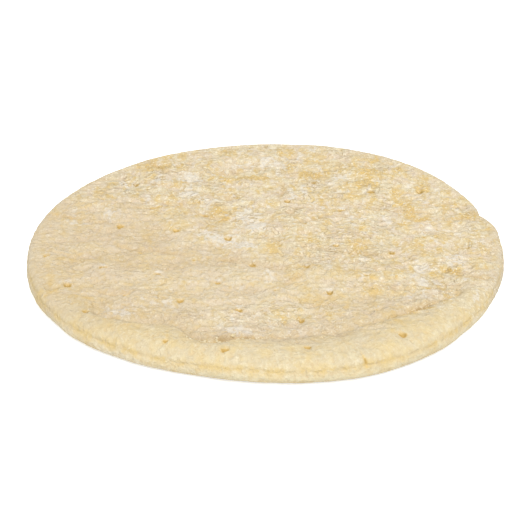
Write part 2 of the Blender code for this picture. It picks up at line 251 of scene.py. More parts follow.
# Floury patches, likewise. The one at (126, -76) is a painted highlight along the ridge there.
FLOURED = (
    (-52, 90, 9, 11, 0.50), (-75, 87, 7, 4, 0.34), (-97, 82, 5, 5, 0.36), (2, 115, 10, 9, 0.50),
    (-17, 111, 9, 6, 0.34), (22, 131, 6, 6, 0.28), (50, 90, 7, 6, 0.30), (24, 73, 5, 9, 0.30),
    (20, 62, 7, 4, 0.32), (38, 49, 7, 4, 0.34), (-42, 55, 5, 10, 0.36), (-55, 68, 6, 6, 0.34),
    (-104, 38, 5, 9, 0.34), (-122, 27, 11, 4, 0.28), (-67, 27, 5, 4, 0.24), (-6, 20, 6, 9, 0.50),
    (-14, 36, 7, 18, 0.26), (-30, 2, 9, 6, 0.42), (-16, -4, 9, 7, 0.40), (-40, 12, 5, 7, 0.28),
    (1, -48, 5, 9, 0.36), (62, 27, 12, 8, 0.28), (78, 32, 6, 6, 0.26), (63, 10, 4, 6, 0.24),
    (105, 56, 6, 6, 0.26), (118, -26, 6, 7, 0.46), (94, -34, 8, 6, 0.44), (100, -52, 11, 5, 0.48),
    (122, -50, 7, 4, 0.30), (-112, -45, 7, 5, 0.24), (-88, -90, 8, 5, 0.44), (-15, -113, 12, 4, 0.42),
    (96, -72, 14, 5, 0.28), (126, -76, 3, 9, 0.60), (-45, -12, 20, 8, 0.14), (-70, -80, 18, 6, 0.16),
    (10, -110, 26, 6, 0.16), (85, 5, 16, 12, 0.12), (-60, 80, 20, 16, 0.12),
)
# Where the skin is crisp and strongly mottled: the back, whose edge leans and wanders, and places of
# its own, as above
CRISP_LEAN, CRISP_WANDER, CRISP_EDGE = (0.55, 0.8), 22 * MM, (-50 * MM, 20 * MM)
CRISP_PLACES = (
    (5, -95, 60, 22, 0.7), (100, -45, 40, 22, 0.8), (-60, 105, 40, 22, 0.6), (94, -76, 18, 9, 0.7),
)
# Places darkened with painted shade, likewise. A negative one takes painted shade away.
SHADED_PLACES = (
    (-50, -84, 34, 18, 0.35), (-32, -121, 15, 5, 0.6), (10, -106, 34, 6, 0.5), (80, -94, 8, 3, 0.4),
    (92, -87, 8, 3, 0.5), (104, -79, 8, 3, 0.45), (96, -72, 16, 7, -1.2), (-11, -119, 9, 4, 0.95),
    (0, 110, 110, 30, 0.2), (153, 3, 6, 30, 1.0),
)
# Smooth blisters in the skin, as above, with their height in millimetres
BLISTERS = (
    (47, -43, 30, 13, 0.8), (-52, 28, 26, 10, 0.7), (88, -78, 24, 9, 0.6), (118, 8, 14, 14, 0.6),
)
BLISTER_SMOOTH = 0.65

# How much toast there is: everywhere, more to the right and the back and on smooth skin, and less
# on the edge's skin and the rim. Then by the patches, the patterns and the lumps, which count less
# on the even rim.
TOAST_LEAST, TOAST_RIGHT, TOAST_BACK, TOAST_RISE = 0.435, 0.060, 0.045, 100 * MM
TOAST_CALM, TOAST_OFF_SKIN, TOAST_OFF_RIM = 0.09, 0.20, 0.06
TOAST_BY_PATCH, TOAST_BY_PATTERN, TOAST_BY_LUMP, RIM_EVEN = 1.8, 0.20, 0.18, 0.7
TOAST_BROADLY, TOAST_BROADLY_CRISP = 0.24, 0.10
# The same for flour, which also carries the painted highlight behind each pit
FLOUR_LEAST, FLOUR_BY_PATCH, FLOUR_BY_PATTERN, HIGHLIGHT_BY_PIT = 0.20, 1.5, 0.10, 0.45
FLOUR_OFF_SKIN, FLOUR_OFF_RIM = 0.5, 0.2
# Painted shade in low places: heights in millimetres below the middle between which a place turns into a
# hollow, and what counts for that height: swells, lumps, the crease, folds and the left side
LOW_RANGE, LOW_BY_SWELL, LOW_BY_LUMP = (0.25, 1.95), 0.8, 0.5
LOW_BY_CREASE, LOW_CREASE_SHIFT, LOW_CREASE_REACH = 0.7, 4 * MM, 14 * MM
LOW_BY_FOLD, LOW_FOLD_SHIFT = 0.9, 2.5 * MM
LOW_BY_LEFT, LOW_LEFT_RANGE = 0.6, (30 * MM, 130 * MM)
# Where the finish changes, measured in from the edge or up from the base, and how ragged its edges are
RAGGED, FINELY_RAGGED, RIM_RAGGED, PALE_RAGGED = 5 * MM, 2 * MM, 1.5, 0.3
SKIN_RANGE, RIM_START, RIM_BEYOND, PALE_END = (1 * MM, 13 * MM), 4 * MM, 12 * MM, 6 * MM
SIDE_LEAST, SEAM_COLOUR_WIDTH, SEAM_COLOUR_TOP = 0.45, 1.9 * MM, 4 * MM
LIP_RANGE = (4.5 * MM, 1.0 * MM)
# The foot of the side, lightened with painted light against the floor's shade, which reaches higher
# at the left, and the left front, where the outermost edge gets no painted shade
FOOT_START, FOOT_TOP, FOOT_TOP_RISE, FOOT_RISE_RANGE = 0.5 * MM, 4 * MM, 12 * MM, (20 * MM, 70 * MM)
TANNED_LEFT, TANNED_FRONT = (0.0, 60 * MM), (15 * MM, 55 * MM)
# How deep in a pit the small unevenness has gone
PIT_STEADY = 0.8

# The masks that the points carry to the finish
MASKS = ("toast", "flour", "crisp", "low", "crease", "fold", "pit", "heart", "gaps", "rim", "side", "seam",
         "lip", "foot", "pale")
# The mesh: squares across the top, and rings down the roll, the shoulder and the lip
TOP_CELLS = 256
ROLL_RINGS, SHOULDER_RINGS, LIP_RINGS = 14, 5, 7

# Loose crumbs: one of every three lies where dough is torn, within a share of that place's reach
# and at most so large. The others fall in a round, in millimetres. All drop from one height.
CRUMB_SEED, CRUMB_TORN_EACH, CRUMB_TORN_SPREAD, CRUMB_TORN_SIZE = 12, 3, 0.55, 0.9
CRUMB_ROUND, CRUMB_ROUND_SIZE, CRUMB_DROP_FROM = 132, 0.4, 50 * MM
# A crumb's least size, its width and its height, as shares, and how far it may be turned
CRUMB_LEAST, CRUMB_WIDTH, CRUMB_HEIGHT, CRUMB_TURN = 0.35, (0.5, 0.9), (0.3, 0.6), 6.28
# How fine and how strong its lumps are, and how far its middle lies above the dough
CRUMB_LUMPS, CRUMB_LUMPY, CRUMB_LIFT = 2.4, 0.9, 0.02

# The floor, whose top lies a little below the crust, and the camera's sensor in millimetres and reach
FLOOR_RADIUS, FLOOR_SIDES, FLOOR_GAP = 3.0, 96, 0.05 * MM
SENSOR_WIDTH, NEAR_END, FAR_END = 36.0, 0.01, 20.0
WHITE = (1.0, 1.0, 1.0, 1.0)

# The finish: how much patches are drawn out sideways, and how many streaks there are to a radian
# round the edge and to a metre across it
DRAWN_OUT = (1.0, 0.48, 1.0)
STREAKS_ROUND, STREAKS_ACROSS = 46.0, 90.0
# How far apart nodes stand in a tree
NODE_ACROSS, NODE_DOWN = 200, 300
# The shortest step, which keeps a smooth step from a division by nothing
LEAST_SPAN = 1e-9


# ---- Sizes, colours and stage settings that a user may change

def length(name, description, default, least, most):
    """A length that a user may change."""
    return bpy.props.FloatProperty(
        name=name, description=description, default=default, min=least, max=most, unit="LENGTH",
        subtype="DISTANCE")


def amount(name, description, default, least, most, subtype="NONE", unit="NONE"):
    """A plain number or an angle that a user may change."""
    return bpy.props.FloatProperty(
        name=name, description=description, default=default, min=least, max=most, subtype=subtype,
        unit=unit)


def colour(name, description, default):
    """A colour that a user may change."""
    return bpy.props.FloatVectorProperty(
        name=name, description=description, default=default, min=0.0, max=1.0, size=3, subtype="COLOR")


class CrustSizes(bpy.types.PropertyGroup):
    """Sizes of the crust."""
    diameter: length("Diameter", "Across the plain round, before its edge wavers", 305 * MM, 0.2, 0.4)
    rim_height: length("Rim height", "Height of the front rim's crown", 17.2 * MM, 0.01, 0.03)
    floor_height: length("Floor height", "Height of the dough inside the rim", 13.4 * MM, 0.008, 0.03)
    seam_height: length("Seam height", "Height of the seam that runs round the side", 10.4 * MM, 0.006, 0.02)
    pit_radius: length("Pit radius", "Radius of a docking pit at its mouth", 2.4 * MM, 0.001, 0.005)
    pit_depth: length("Pit depth", "Depth of a docking pit", 2.3 * MM, 0.0005, 0.006)
    roughening: amount(
        "Roughening", "How strongly the small lumps and wrinkles show", 1.0, 0.0, 2.0, "FACTOR")
    crumb_count: bpy.props.IntProperty(
        name="Crumbs", description="How many loose crumbs and flakes lie on the dough",
        default=90, min=0, max=600)
    crumb_size: length("Crumb size", "Length of the largest crumb", 3.0 * MM, 0.0005, 0.005)


class CrustColours(bpy.types.PropertyGroup):
    """Colours of the dough."""
    cream: colour("Cream", "Plain par-baked dough", (0.739, 0.646, 0.450))
    blush: colour("Blush", "Plain dough with a rosy tinge", (0.731, 0.612, 0.458))
    rim: colour("Rim", "The smooth rim", (0.673, 0.572, 0.376))
    golden: colour("Golden", "Lightly toasted dough", (0.728, 0.580, 0.306))
    toasted: colour("Toasted", "The darkest toasted flecks", (0.725, 0.512, 0.185))
    flour: colour("Flour", "Dry flour on the skin", (0.790, 0.742, 0.652))
    seam: colour("Seam", "The seam round the side", (0.700, 0.535, 0.250))
    lip: colour("Lip", "The lower lip", (0.755, 0.665, 0.448))
    # foot: painted light on the front edge just above the pan, against the floor's shade
    foot: colour("Foot", "The front edge just above the pan", (0.850, 0.765, 0.572))
    # pale: painted shade on the outermost edge at the sides and the back
    pale: colour("Pale", "The outermost edge at the sides and the back", (0.648, 0.575, 0.453))
    # crease: fine creases in the skin, golden-brown and darkened with painted shade
    crease: colour("Crease", "Fine creases in the skin", (0.664, 0.485, 0.248))
    # furrow: painted shade in the bottom of folds and of the crease
    furrow: colour("Furrow", "The bottom of folds and of the crease", (0.622, 0.448, 0.225))
    # tan: a browner tone on the calm skin towards the left and the front, which also paints shade there
    tan: colour("Tan", "Smooth skin that took a little colour", (0.704, 0.594, 0.426))
    # hollow: fine dents in the skin, golden-brown and partly painted shade
    hollow: colour("Hollow", "Fine dents in the skin", (0.661, 0.505, 0.283))
    # shade: the painted shade that low places, the dough behind the crease and the folds, and the left are
    # darkened by
    shade: colour("Shade", "What broad low places are darkened by", (0.902, 0.868, 0.832))
    # fleck: bright dry flecks, partly painted highlight on the grain's raised parts
    fleck: colour("Fleck", "Bright dry flecks", (0.90, 0.82, 0.63))
    # pit: painted shadow in a docking pit's heart and in the rim's slit, over their brown bottoms
    pit: colour("Pit", "The bottom of a docking pit", (0.575, 0.390, 0.130))
    # gap: painted shade between torn crumbs and in the deepest fold lines
    gap: colour("Gap", "Between torn crumbs", (0.44, 0.30, 0.14))
    underside: colour("Underside", "The side that lay on the pan", (0.66, 0.50, 0.29))


class StageSettings(bpy.types.PropertyGroup):
    """The floor, the light and the camera."""
    camera_distance: length("Camera distance", "From the camera to what it aims at", 1.0, 0.3, 5.0)
    camera_height: amount("Camera elevation", "Angle of the view above the floor",
                          math.radians(28.95), 0.0, math.pi / 2, "ANGLE", "ROTATION")
    camera_aim: bpy.props.FloatVectorProperty(
        name="Camera aim", description="The point in the middle of the view",
        default=(-0.4 * MM, -23.1 * MM, 8.5 * MM), size=3, unit="LENGTH", subtype="XYZ")
    lens: amount("Lens", "Focal length in millimetres on a 36 mm wide sensor", 107.7, 10.0, 300.0)
    key_power: amount("Key light", "Strength of the large soft light above", 1.95, 0.0, 10.0)
    key_width: amount("Key light width", "How wide the large soft light looks from the crust",
                      math.radians(30), 0.0, math.pi, "ANGLE", "ROTATION")
    key_from: bpy.props.FloatVectorProperty(
        name="Key light direction", description="Where the large soft light stands, seen from the crust",
        default=(0.1, -0.6, 1.0), size=3, subtype="DIRECTION")
    sky_strength: amount("Surrounding light", "Strength of the light from all round", 0.685, 0.0, 5.0)
    floor_colour: colour("Floor", "The pale floor", (0.88, 0.88, 0.88))
    floor_glow: amount(
        "Floor glow", "Brightness added to the floor where the camera sees it", 0.62, 0.0, 1.0)


# ---- Shapes

def smoothstep(value, low, high):
    """0 below low, 1 above high, smooth between."""
    t = np.clip((value - low) / np.maximum(high - low, LEAST_SPAN), 0.0, 1.0)
    return t * t * (3.0 - 2.0 * t)


def bell(distance, half_width):
    """1 at no distance, falling smoothly to nothing."""
    return np.exp(-((distance / half_width) ** 2))


def turn_between(angle, degrees):
    """The signed angle from a direction in degrees, in degrees."""
    return (np.degrees(angle) - degrees + 180.0) % 360.0 - 180.0


def noise_at(x, y, z):
    """Smooth noise from -1 to 1 at each place."""
    places = [np.asarray(part, dtype=float).ravel().tolist() for part in np.broadcast_arrays(x, y, z)]
    return np.array([noise.noise(place) for place in zip(*places)])


def pattern(name, x, y):
    """One of the named patterns over the top, from -1 to 1."""
    across, along, slice_at = PATTERNS[name]
    return noise_at(x / across, y / along, slice_at)


def arc(centre, radii, start, end, steps):
    """Points along a stretch of an ellipse, from start to end degrees."""
    angles = np.radians(np.linspace(start, end, steps))
    return [(centre[0] + radii[0] * math.cos(a), centre[1] + radii[1] * math.sin(a)) for a in angles]


def edge_growth(angle):
    """How far the outline lies outside the plain round, in a direction."""
    grown = sum(rise * np.cos(count * (angle - math.radians(at))) for count, rise, at in OUTLINE_WAVES)
    notch = bell(turn_between(angle, NOTCH_AT), NOTCH_SPREAD)
    lobe = bell(turn_between(angle, LOBE_AT), LOBE_SPREAD)
    return grown - NOTCH_DEPTH * notch + LOBE_RISE * lobe


def front_share(angle):
    """1 along the front crease, fading at its ends to 0 round the rest of the rim."""
    ends = [math.degrees(math.atan2(y, x)) for x, y in (FRONT_CREASE[0], FRONT_CREASE[-1])]
    middle, half = (ends[0] + ends[1]) / 2, (ends[1] - ends[0]) / 2
    return 1.0 - smoothstep(np.abs(turn_between(angle, middle)), half - CREASE_FADE / 2, half + CREASE_FADE)


def crease_radius(angle):
    """The front crease's distance from the middle: a smooth curve through its points."""
    angles = np.array([math.atan2(y, x) for x, y in FRONT_CREASE])
    radii = np.array([math.hypot(x, y) * MM for x, y in FRONT_CREASE])
    slopes = np.gradient(radii, angles)
    angle = np.clip(angle, angles[0], angles[-1])
    k = np.clip(np.searchsorted(angles, angle) - 1, 0, len(angles) - 2)
    span = angles[k + 1] - angles[k]
    t = (angle - angles[k]) / span
    start = radii[k] * (1 + 2 * t) * (1 - t) ** 2 + slopes[k] * span * t * (1 - t) ** 2
    end = radii[k + 1] * t * t * (3 - 2 * t) + slopes[k + 1] * span * t * t * (t - 1)
    return start + end


def crease_width(angle, radius):
    """The distance from the edge to the foot of the rim's inner slope."""
    front = np.maximum(radius + edge_growth(angle) - crease_radius(angle), CREASE_LEAST_WIDTH)
    back = BACK_WIDTH + BACK_WANDER * np.sin(angle * BACK_WAVES + BACK_WAVES_START)
    share = front_share(angle)
    return share * front + (1.0 - share) * back


def pressed(inset, angle, sizes):
    """How far the dough lies below the rim's full height, with the crease in front."""
    share = front_share(angle)
    foot = crease_width(angle, sizes.diameter / 2)
    slope = np.clip((inset - CROWN_INSET) / (foot - CROWN_INSET), 0.0, 1.0)
    slope = share * slope**2 + (1.0 - share) * smoothstep(slope, 0.0, 1.0)
    rise = BACK_RISE + (1.0 - BACK_RISE) * share
    crease = CREASE_DEPTH * bell(inset - foot, CREASE_HALF_WIDTH)
    return (sizes.rim_height - sizes.floor_height) * (1.0 - rise * (1.0 - slope)) + share**3 * crease


def crease_line(inset, angle, radius):
    """1 along the sharp line in the crease's bottom, which wanders and comes and goes."""
    around = angle * radius / CREASE_LINE_LENGTH
    wanders, comes = CREASE_LINE_SLICES
    foot = crease_width(angle, radius) + CREASE_LINE_WANDER * noise_at(around, *wanders)
    strength = smoothstep(noise_at(around * CREASE_LINE_COMES, *comes), *CREASE_LINE_SHOWN)
    strong = sum(bell(turn_between(angle, at), spread) for at, spread in CREASE_LINE_STRONG)
    strength = strength * CREASE_LINE_LEAST + (1.0 - CREASE_LINE_LEAST) * strong
    half_width = CREASE_LINE_HALF_WIDTH * (1.0 + CREASE_LINE_WIDENED * strong)
    return front_share(angle) ** 2 * strength * bell(inset - foot, half_width)


def swells(x, y):
    """The uneven heights of the dough: broad swells with smaller ones on them."""
    heights = np.zeros(len(x))
    for layer, (along, height) in enumerate(SWELLS):
        slice_at = SWELL_SLICES[0] + SWELL_SLICES[1] * layer
        heights += height * noise_at(x / (along * SWELL_STRETCH), y / along, slice_at)
    return heights


def lumps(x, y):
    """The small unevenness of the skin, rounded on top and narrower in its hollows."""
    heights = np.zeros(len(x))
    for layer, (across, along, height) in enumerate(LUMPS):
        rise = noise_at(x / across, y / along, LUMP_SLICES[0] + LUMP_SLICES[1] * layer)
        heights += height * (LUMP_MIDDLE - np.abs(rise) * LUMP_NARROWED + rise) * LUMP_SHARE
    return heights


def wrinkles(x, y):
    """The depth of fine wrinkles, which lie where smooth noise crosses nothing."""
    depths = np.zeros(len(x))
    sway = WRINKLE_SWAY * pattern("wrinkle_sway", x, y)
    for layer, (across, along, depth, sharpness) in enumerate(WRINKLES):
        value = noise_at(x / across + sway, y / along, WRINKLE_SLICES[0] + WRINKLE_SLICES[1] * layer)
        where = noise_at(x / WRINKLE_PATCH, y / WRINKLE_PATCH, PATCH_SLICES[0] + PATCH_SLICES[1] * layer)
        depths += depth * bell(value, sharpness) * smoothstep(where, *WRINKLE_SHOWN)
    return depths


def side_relief(angle, z, sizes):
    """The seam round the side and the uneven bulges above and below it; and where the seam is."""
    around = sizes.diameter / 2 / SIDE_SWELL_LENGTH
    x, y = np.cos(angle) * around, np.sin(angle) * around
    bulge = SIDE_SWELL * noise_at(x, y, z / sizes.seam_height)
    seam_height = sizes.seam_height + SEAM_WANDER * noise_at(x, y, 0.0)
    small = sum(height * noise_at(x * finer, y * finer, z / up) for finer, up, height in SIDE_GRAIN)
    return bulge + small - SEAM_DEPTH * bell(z - seam_height, SEAM_WIDTH), seam_height


def fold_distance(x, y, start, bend, end):
    """The distance to one fold's bent line, and its strength along it."""
    start, bend, end = (np.array(point) for point in (start, bend, end))
    t = np.linspace(0.0, 1.0, FOLD_STEPS + 1)[:, None]
    line = ((1 - t) ** 2 * start + 2 * t * (1 - t) * bend + t * t * end) * MM
    nearest = np.full(len(x), np.inf)
    along = np.zeros(len(x))
    for k in range(FOLD_STEPS):
        step = line[k + 1] - line[k]
        reach = ((x - line[k][0]) * step[0] + (y - line[k][1]) * step[1]) / (step @ step)
        reach = np.clip(reach, 0.0, 1.0)
        away = np.hypot(x - line[k][0] - reach * step[0], y - line[k][1] - reach * step[1])
        closer = away < nearest
        nearest[closer] = away[closer]
        along[closer] = (k + reach[closer]) / FOLD_STEPS
    fade = np.sin(np.pi * np.clip(along, FOLD_TIP, 1.0 - FOLD_TIP)) ** FOLD_FADE
    return nearest, fade


def folds(x, y):
    """The depth of the folds, and 1 along their lines."""
    depth, lines = np.zeros(len(x)), np.zeros(len(x))
    wander = FOLD_WANDER * pattern("fold_wander", x, y)
    for *bent, deep, half_width in FOLDS:
        nearest, fade = fold_distance(x, y, *bent)
        depth += deep * MM * fade * bell(nearest, half_width * MM)
        line = fade * bell(nearest - np.abs(wander), FOLD_LINE_HALF_WIDTH)
        if deep > 0:
            depth += deep * MM * FOLD_LINE_SHARE * line
            lines = np.maximum(lines, line)
    shown = smoothstep(pattern("fold_shown", x, y), *FOLD_LINE_SHOWN)
    return depth, lines * (FOLD_LINE_LEAST + (1.0 - FOLD_LINE_LEAST) * shown)


def all_pits():
    """Every docking pit's middle, a number of its own from 0 to 1, and how open it still is."""
    places = [(place, 1.0) for row in PITS for place in row]
    places += [(place, FAINT_SHARE) for row in FAINT_PITS for place in row]
    return [(x * MM, y * MM, (k * GOLDEN_RATIO) % 1.0, share) for k, ((x, y), share) in enumerate(places)]


def pits(x, y, sizes):
    """The height of the docking pits and their swollen lips, how deep in a pit a point is, and
    how near a pit's dark heart, painted shadow, and the pale place behind it, painted highlight."""
    height, deep, heart, pale = (np.zeros(len(x)) for _ in range(4))
    for pit_x, pit_y, own, share in all_pits():
        near = np.hypot(x - pit_x, y - pit_y) < PIT_REACH * sizes.pit_radius
        across, along = x[near] - pit_x, y[near] - pit_y
        turn = np.arctan2(along, across)
        wavers = sum((far * np.sin(times * turn + own * turned) for far, times, turned in PIT_WAVERS), 1.0)
        size = PIT_SIZE + PIT_SIZE_SPREAD * own
        ratio = np.hypot(across / PIT_OVAL, along) / (sizes.pit_radius * size * wavers)
        hole = share * (1.0 - smoothstep(ratio, *PIT_WALL))
        height[near] -= sizes.pit_depth * (PIT_DEEP + PIT_DEEP_SPREAD * own) * hole
        height[near] += PIT_LIP_RISE * share * bell(ratio - PIT_LIP_AT, PIT_LIP_WIDTH)
        deep[near] = np.maximum(deep[near], hole)
        across, along = across / (sizes.pit_radius * size), along / (sizes.pit_radius * size)
        bent = along - HEART_SHIFT - HEART_BEND * across**2
        off_heart = np.hypot(across / HEART_REACH[0], bent / HEART_REACH[1]) + (1.0 - share)
        heart[near] = np.maximum(heart[near], 1.0 - off_heart / HEART_CONE)
        off_pale = np.hypot(across / PALE_REACH[0], (along - PALE_SHIFT) / PALE_REACH[1])
        pale[near] = np.maximum(pale[near], share * bell(off_pale, 1.0))
    return height, deep, heart, pale


def torn_dough(x, y):
    """The height of the torn crumbs behind the crease, and the gaps between them, which get painted shade.
    """
    torn = np.zeros(len(x))
    for (middle_x, middle_y), (reach_x, reach_y) in TORN_PLACES:
        away = np.hypot((x - middle_x * MM) / (reach_x * MM), (y - middle_y * MM) / (reach_y * MM))
        torn = np.maximum(torn, bell(away, 1.0))
    torn *= smoothstep(pattern("torn", x, y), *TORN_SHOWN)
    apart = np.zeros(len(x))
    for k in np.flatnonzero(torn > TORN_LEAST):
        apart[k] = noise.voronoi((x[k] / TORN_LUMP, y[k] / TORN_LUMP, TORN_SLICE))[0][0]
    return TORN_HEIGHT * torn * (TORN_MIDDLE - apart), torn * smoothstep(apart, *TORN_GAP)


def patches(x, y, places):
    """A soft mask of patches: each has a middle, two reaches in millimetres and a strength."""
    cover = np.zeros(len(x))
    for middle_x, middle_y, reach_x, reach_y, strength in places:
        away = np.hypot((x - middle_x * MM) / (reach_x * MM), (y - middle_y * MM) / (reach_y * MM))
        cover += strength * bell(away, 1.0)
    return cover


def crust_rings(sizes):
    """The half section below the top disc: the roll, the shoulder and the lip, edge by edge."""
    radius = sizes.diameter / 2
    roll_radii = (ROLL_WIDTH - SEAM_STEP, sizes.rim_height - sizes.seam_height)
    roll = arc((radius - ROLL_WIDTH, sizes.seam_height), roll_radii, 90, 0, ROLL_RINGS + 1)[1:]
    shoulder_centre = (radius - 2 * SEAM_STEP, LIP_HEIGHT)
    shoulder_radii = (2 * SEAM_STEP, sizes.seam_height - LIP_HEIGHT)
    shoulder = arc(shoulder_centre, shoulder_radii, SHOULDER_START, SHOULDER_END, SHOULDER_RINGS)
    lip = arc((radius - BASE_INSET, LIP_HEIGHT), (BASE_INSET, LIP_HEIGHT), 0, -90, LIP_RINGS)
    return roll + shoulder + lip


def plain_round(sizes):
    """Points and faces of the plain round: squares drawn out to a disc, rings round it, a base."""
    flat_edge = sizes.diameter / 2 - ROLL_WIDTH
    row = TOP_CELLS + 1
    side = np.linspace(-1.0, 1.0, row)
    u, v = np.meshgrid(side, side)
    x = u * np.sqrt(1.0 - v * v / 2.0) * flat_edge
    y = v * np.sqrt(1.0 - u * u / 2.0) * flat_edge
    points = [np.column_stack((x.ravel(), y.ravel(), np.full(row * row, sizes.rim_height)))]
    corner = (np.arange(TOP_CELLS)[:, None] * row + np.arange(TOP_CELLS)).ravel()
    faces = np.column_stack((corner, corner + 1, corner + row + 1, corner + row)).tolist()

    edge = np.arange(TOP_CELLS)
    loop = np.concatenate((edge, TOP_CELLS + edge * row, row * row - 1 - edge, (TOP_CELLS - edge) * row))
    turn = np.arctan2(points[0][loop, 1], points[0][loop, 0])
    first = row * row
    for radius, height in crust_rings(sizes):
        level = np.full(len(turn), height)
        points.append(np.column_stack((radius * np.cos(turn), radius * np.sin(turn), level)))
        ring = first + np.arange(len(turn))
        faces += np.column_stack((loop, ring, np.roll(ring, -1), np.roll(loop, -1))).tolist()
        loop = ring
        first += len(turn)
    faces.append(loop[::-1].tolist())
    return np.concatenate(points), faces


def gather(x, y, places, reach, pull):
    """Draws points closer together round some places, so that small relief there is sharp."""
    for place_x, place_y in places:
        away = np.hypot(x - place_x, y - place_y)
        near = (away < reach) & (away > 0)
        closer = (away[near] / reach) ** pull
        x[near] = place_x + (x[near] - place_x) * closer
        y[near] = place_y + (y[near] - place_y) * closer


def gathered_round(sizes):
    """The plain round with its points gathered at the pits, where the top and the roll are smooth."""
    points, faces = plain_round(sizes)
    radius = sizes.diameter / 2
    inside = np.hypot(points[:, 0], points[:, 1]) < radius - GATHER_MARGIN
    upper = inside & (points[:, 2] > sizes.seam_height)
    x, y = points[upper, 0], points[upper, 1]
    places = []
    for pit_x, pit_y, _, _ in all_pits():
        distance = math.hypot(pit_x, pit_y)
        grown = edge_growth(math.atan2(pit_y, pit_x)) * smoothstep(distance, radius - EDGE_REACH, radius)
        places.append((pit_x * (1 - grown / distance), pit_y * (1 - grown / distance)))
    gather(x, y, places, PIT_GATHER, PIT_GATHER_PULL)
    beyond = np.clip((np.hypot(x, y) - radius + ROLL_WIDTH) / (ROLL_WIDTH - SEAM_STEP), 0.0, 1.0)
    points[upper, 0], points[upper, 1] = x, y
    rise = sizes.rim_height - sizes.seam_height
    points[upper, 2] = sizes.seam_height + rise * np.sqrt(1.0 - beyond**2)
    return points, faces


def rim_slit(angle, inset, z, radius):
    """1 in the short upright slit in the front rim."""
    around = turn_between(angle, SLIT_AT) * math.pi / 180 * radius
    slit = bell(around + SLIT_LEAN * (z - SLIT_HEIGHT), SLIT_HALF_WIDTH)
    return slit * bell(z - SLIT_HEIGHT, SLIT_HALF_HEIGHT) * (inset < ROLL_WIDTH)


def crispness(x, y, blister):
    """1 where the skin is crisp and strongly mottled, 0 where it is smooth."""
    leaning = CRISP_LEAN[0] * x + CRISP_LEAN[1] * y + CRISP_WANDER * pattern("crisp", x, y)
    crisp = np.maximum(smoothstep(leaning, *CRISP_EDGE), patches(x, y, CRISP_PLACES))
    return crisp * (1.0 - BLISTER_SMOOTH * np.clip(blister, 0.0, 1.0))


def shape_dough(points, sizes):
    """Moves the plain round's points to the crust's shape, and returns what its finish depends on."""
    radius = sizes.diameter / 2
    x, y, z = points.T.copy()
    distance, angle = np.hypot(x, y), np.arctan2(y, x)
    inset = radius - distance
    share, foot = front_share(angle), crease_width(angle, radius)

    relief, seam_height = side_relief(angle, z, sizes)
    side = 1.0 - smoothstep(inset, SIDE_FADE_START, SIDE_FADE_END)
    growth = edge_growth(angle) * smoothstep(distance, radius - EDGE_REACH, radius) + relief * side
    slit = rim_slit(angle, inset, z, radius)
    growth -= SLIT_DEPTH * slit
    base = z < LIP_HEIGHT / 2
    growth[base] -= (relief * side)[base] * (1.0 - smoothstep(z[base], 0.0, LIP_HEIGHT / 2))
    x = x + growth * np.cos(angle)
    y = y + growth * np.sin(angle)

    upward = smoothstep(inset, RELIEF_START, RELIEF_FULL) * (z > sizes.seam_height)
    floor = smoothstep(inset, ROLL_WIDTH, foot)
    on_rim = share * (1.0 - floor)
    rough = sizes.roughening * (1.0 - RIM_SMOOTHER * on_rim) * (1.0 - ROLL_SMOOTHER * (1.0 - floor))
    line = crease_line(inset, angle, radius)
    fold_depth, fold_line = folds(x, y)
    pit_height, pit, heart, behind_pit = pits(x, y, sizes)
    torn_height, gaps = torn_dough(x, y)
    blister = patches(x, y, BLISTERS)
    crisp = crispness(x, y, blister)
    small, swell = lumps(x, y), (RIM_CALM + (1.0 - RIM_CALM) * floor) * swells(x, y)
    wrinkle = wrinkles(x, y) * (WRINKLE_LEAST + (1.0 - WRINKLE_LEAST) * crisp)
    dome = DOME_RISE * (1.0 - smoothstep(distance, 0.0, radius - BACK_WIDTH))
    change = dome - pressed(inset, angle, sizes) + swell - fold_depth + blister * MM
    rough *= 1.0 - smoothstep(pit, 0.0, PIT_STEADY)
    change += rough * (small - wrinkle) + torn_height + pit_height
    z = z + upward * (change - CREASE_LINE_DEPTH * line)
    points[:, 0], points[:, 1], points[:, 2] = x, y, z
    return SimpleNamespace(
        x=x, y=y, z=z, inset=inset, share=share, foot=foot, side=side, seam_height=seam_height, slit=slit,
        on_rim=on_rim, line=line, fold_line=fold_line, pit=pit, heart=heart, behind_pit=behind_pit,
        gaps=gaps, crisp=crisp, small=small, swell=swell, wrinkle=wrinkle)


def toast_and_flour(top):
    """How much of the dough is toasted and how much is floury, with the painted highlight behind each
    pit counted as flour, before the edge takes its share.
    """
    x, y = top.x, top.y
    right, back = smoothstep(x, 0.0, TOAST_RISE), smoothstep(y, 0.0, TOAST_RISE)
    toast = TOAST_LEAST + TOAST_RIGHT * right + TOAST_BACK * back
    toast += TOAST_BY_PATCH * patches(x, y, TOASTED) + TOAST_BY_PATTERN * pattern("toast", x, y)
    toast += (TOAST_BROADLY - TOAST_BROADLY_CRISP * top.crisp) * pattern("broad_toast", x, y)
    toast += TOAST_BY_LUMP * (top.small / MM) * (1.0 - RIM_EVEN * top.on_rim)
    flour = FLOUR_LEAST + FLOUR_BY_PATCH * patches(x, y, FLOURED)
    flour += FLOUR_BY_PATTERN * pattern("flour", x, y)
    return toast + TOAST_CALM * (1.0 - top.crisp), flour + HIGHLIGHT_BY_PIT * top.behind_pit


def painted_shade(top):
    """1 where painted shade darkens the dough: where it lies low, behind the crease and the folds, on the
    left and in the shaded places.
    """
    x, y = top.x, top.y
    low = smoothstep(-(LOW_BY_SWELL * top.swell + LOW_BY_LUMP * top.small) / MM, *LOW_RANGE)
    low += LOW_BY_CREASE * top.share * bell(top.inset - top.foot - LOW_CREASE_SHIFT, LOW_CREASE_REACH)
    low += LOW_BY_FOLD * folds(x, y - LOW_FOLD_SHIFT)[0] / MM
    low += LOW_BY_LEFT * smoothstep(-x, *LOW_LEFT_RANGE) + patches(x, y, SHADED_PLACES)
    return np.clip(low, 0.0, 1.0)


